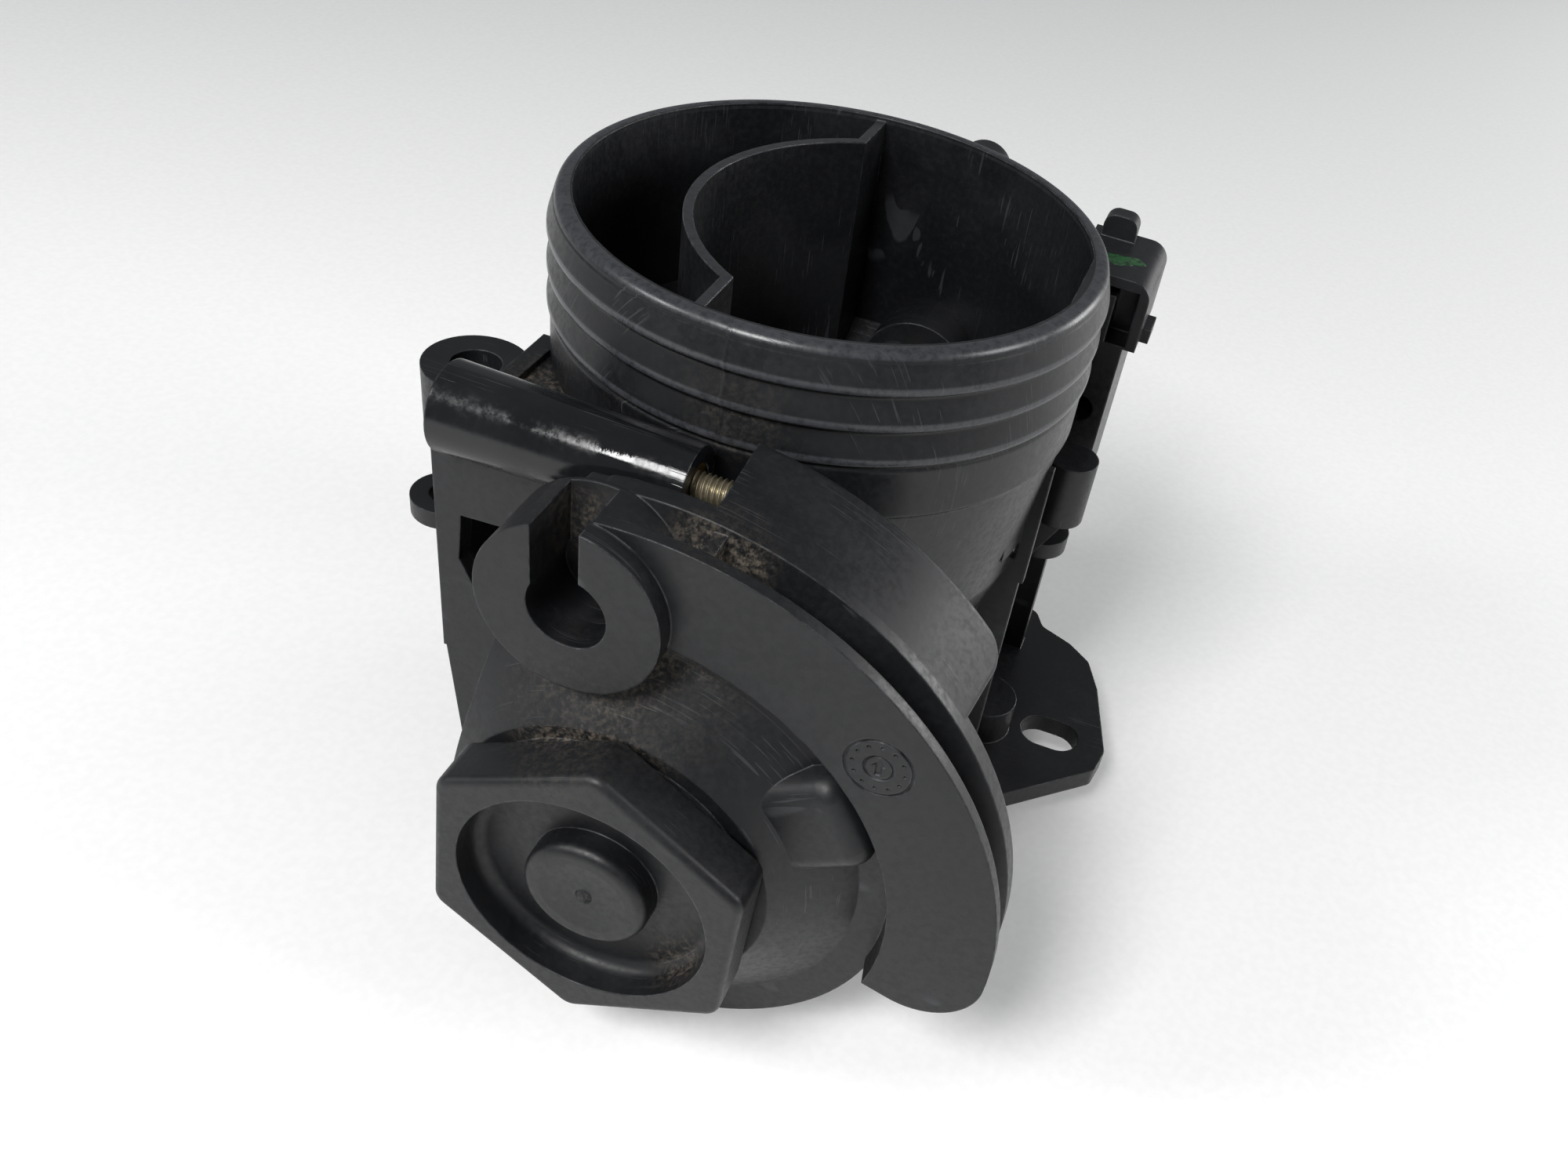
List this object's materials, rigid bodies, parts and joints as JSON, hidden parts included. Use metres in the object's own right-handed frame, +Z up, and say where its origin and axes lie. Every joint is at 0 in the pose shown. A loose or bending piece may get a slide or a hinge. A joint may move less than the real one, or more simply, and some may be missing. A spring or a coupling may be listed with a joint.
{
  "type": "throttle body",
  "caption": "Cable-operated throttle body with ridged inlet neck, butterfly on a sprung shaft, hexagon-hubbed cable quadrant, stop screw and position sensor.",
  "frame": {"origin": "centre of the throttle bore in the mounting face of the base flange", "axes": "+Z up the bore to the inlet rim, +Y along the shaft towards the sensor, cable quadrant on -Y, slotted ear on +X"},
  "size_m": [0.1098, 0.1193, 0.1],
  "materials": {
    "nylon_black": "satin glass-filled nylon",
    "nylon_natural": "natural nylon",
    "nylon_grey": "grey-brown moulded plastic",
    "steel": "turned steel",
    "yellow_zinc": "yellow-passivated zinc on steel",
    "brass_plate": "brass",
    "bronze": "sintered bronze",
    "rubber_black": "nitrile rubber",
    "rubber_green": "moulded silicone seal",
    "board": "ceramic resistor board"
  },
  "bodies": {
    "housing": {"throttle_housing": "nylon_black", "shaft_bush_front": "bronze", "shaft_bush_rear": "bronze", "shaft_seal_front": "rubber_black", "shaft_seal_rear": "rubber_black", "thrust_washer": "steel", "spring_sleeve": "nylon_natural", "return_spring": "steel", "stop_screw_insert": "brass_plate", "base_gasket": "rubber_green", "sensor_housing": "nylon_black", "sensor_cover": "nylon_black", "sensor_track": "board", "sensor_terminals": "bronze", "sensor_screws": "steel", "sensor_inserts": "brass_plate", "sensor_seal": "rubber_black", "air_probe": "nylon_grey", "probe_seal": "rubber_black"},
    "throttle": {"throttle_shaft": "steel", "throttle_plate": "brass_plate", "plate_screws": "steel", "cable_quadrant": "nylon_black", "shaft_clip": "steel", "sensor_rotor": "nylon_natural", "sensor_wiper": "bronze"},
    "idle_screw": {"stop_screw": "yellow_zinc"}
  },
  "joints": [
    {"name": "throttle_turn", "type": "hinge", "parent": "housing", "child": "throttle", "pos_m": [0, 0, 0.0293], "axis": [0, 1, 0], "range_deg": [0, 80], "stiffness_Nm_per_rad": 0.25, "springref_deg": -68.75, "deforming": ["return_spring"]},
    {"name": "idle_screw_travel", "type": "slide", "parent": "housing", "child": "idle_screw", "axis": [1, 0, 0], "range_m": [-0.006, 0]}
  ]
}
